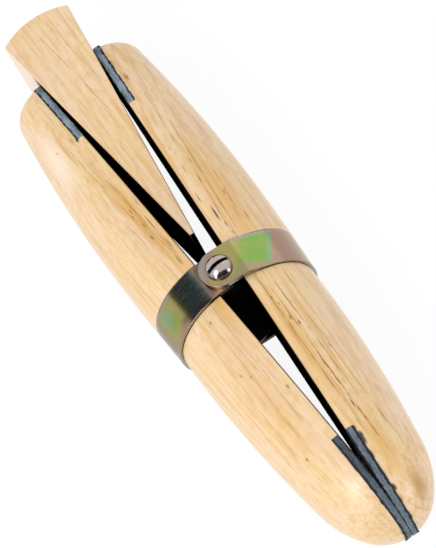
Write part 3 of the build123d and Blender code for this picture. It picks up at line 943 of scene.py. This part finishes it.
def add_flags():
    felt = black_felt()
    for name, (turn, distance, shift, width, height) in FLAGS.items():
        bpy.ops.mesh.primitive_plane_add(size=1)
        flag = bpy.context.object
        flag.name = name
        turned = Euler([radians(v) for v in turn])
        flag.rotation_euler = turned
        flag.location = PIVOT + turned.to_matrix() @ Vector((shift, 0, distance))
        flag.scale = (width, height, 1)
        flag.data.materials.append(felt)
        for ray in ("camera", "diffuse", "transmission", "volume_scatter", "shadow"):
            setattr(flag, f"visible_{ray}", False)


def seen_directly(tree):
    """1 for what the camera sees, also in a mirror or through glass."""
    rays = add_node(tree, "ShaderNodeLightPath")
    mirrored = add_node(tree, "ShaderNodeMath", {"operation": "MAXIMUM"}, {
        0: rays.outputs["Is Glossy Ray"], 1: rays.outputs["Is Transmission Ray"]})
    return add_node(tree, "ShaderNodeMath", {"operation": "MAXIMUM"}, {
        0: rays.outputs["Is Camera Ray"], 1: mirrored.outputs[0]}).outputs[0]


FLOOR_SHOWN = (0.12, 0.12, 0.115, 1)  # how much of the floor's own light and shadow the camera sees
FLOOR_LIFT = 0.91  # the even light that brings the rest up to white


def floor_paint():
    """Matte white floor. The camera sees it lifted to white, with a faint shadow kept."""
    material, tree = new_material("white_floor")
    plain = add_node(tree, "ShaderNodeBsdfDiffuse", None, {"Color": opaque(linear("#e6e6e8"))})
    kept = add_node(tree, "ShaderNodeBsdfDiffuse", None, {"Color": FLOOR_SHOWN})
    lift = add_node(tree, "ShaderNodeEmission", None, {"Color": (0.99, 0.99, 1, 1), "Strength": FLOOR_LIFT})
    lifted = add_node(tree, "ShaderNodeAddShader", None, {0: kept.outputs[0], 1: lift.outputs[0]})
    mixed = add_node(tree, "ShaderNodeMixShader", None, {
        0: seen_directly(tree), 1: plain.outputs[0], 2: lifted.outputs[0]})
    return with_surface(material, mixed)


def add_floor(reach):
    bpy.ops.mesh.primitive_circle_add(vertices=96, radius=reach, fill_type="NGON")
    floor = bpy.context.object
    floor.name = "floor"
    floor.data.materials.append(floor_paint())


def light_room(strength):
    """Even light all round. The camera and the mirrors see it white."""
    world = bpy.data.worlds.new("studio_room")
    bpy.context.scene.world = world
    world.use_nodes = True
    tree = world.node_tree
    tree.nodes.clear()
    plain = add_node(tree, "ShaderNodeBackground", None, {"Color": (1, 1, 1, 1), "Strength": strength})
    white = add_node(tree, "ShaderNodeBackground", None, {"Color": (1, 1, 1, 1), "Strength": 1.0})
    mixed = add_node(tree, "ShaderNodeMixShader", None, {
        0: seen_directly(tree), 1: plain.outputs[0], 2: white.outputs[0]})
    add_node(tree, "ShaderNodeOutputWorld", None, {"Surface": mixed.outputs[0]})


def add_camera(studio):
    bpy.ops.object.camera_add(location=studio.camera_place, rotation=studio.camera_turn)
    camera = bpy.context.object
    camera.name = "photo_camera"
    camera.data.lens = studio.lens
    camera.data.sensor_width = 36
    camera.data.sensor_fit = "AUTO"
    camera.data.clip_start = 0.01
    camera.data.clip_end = 20
    bpy.context.scene.camera = camera


class RING_CLAMP_OT_studio(bpy.types.Operator):
    """Set up the floor, the light and the camera"""
    bl_idname = "ring_clamp.studio"
    bl_label = "Studio"

    def execute(self, context):
        studio = context.scene.ring_clamp.studio
        bpy.ops.object.select_all(action="DESELECT")
        context.scene.view_settings.view_transform = "Standard"
        add_camera(studio)
        light_room(studio.room_light)
        add_floor(studio.floor_reach)
        add_soft_boxes()
        add_flags()
        return {"FINISHED"}


class RING_CLAMP_PT_panel(bpy.types.Panel):
    """Sidebar panel with the clamp's settings and steps"""
    bl_idname = "RING_CLAMP_PT_panel"
    bl_label = "Ring clamp"
    bl_space_type = "VIEW_3D"
    bl_region_type = "UI"
    bl_category = "Ring clamp"

    def draw(self, context):
        settings = context.scene.ring_clamp
        steps = (("ring_clamp.wood", settings.wood), ("ring_clamp.linings", settings.leather),
                 ("ring_clamp.hardware", settings.metal), ("ring_clamp.studio", settings.studio))
        for operator, group in steps:
            box = self.layout.box()
            for name in group.__annotations__:
                box.prop(group, name)
            box.operator(operator)


CLASSES = (WoodSettings, LeatherSettings, MetalSettings, StudioSettings, ClampSettings,
           RING_CLAMP_OT_wood, RING_CLAMP_OT_linings, RING_CLAMP_OT_hardware, RING_CLAMP_OT_studio,
           RING_CLAMP_PT_panel)


def register():
    for cls in CLASSES:
        bpy.utils.register_class(cls)
    bpy.types.Scene.ring_clamp = PointerProperty(type=ClampSettings)


def unregister():
    del bpy.types.Scene.ring_clamp
    for cls in reversed(CLASSES):
        bpy.utils.unregister_class(cls)


def main():
    register()
    bpy.ops.ring_clamp.studio()
    bpy.ops.ring_clamp.wood()
    bpy.ops.ring_clamp.linings()
    bpy.ops.ring_clamp.hardware()


if __name__ == "__main__":
    main()
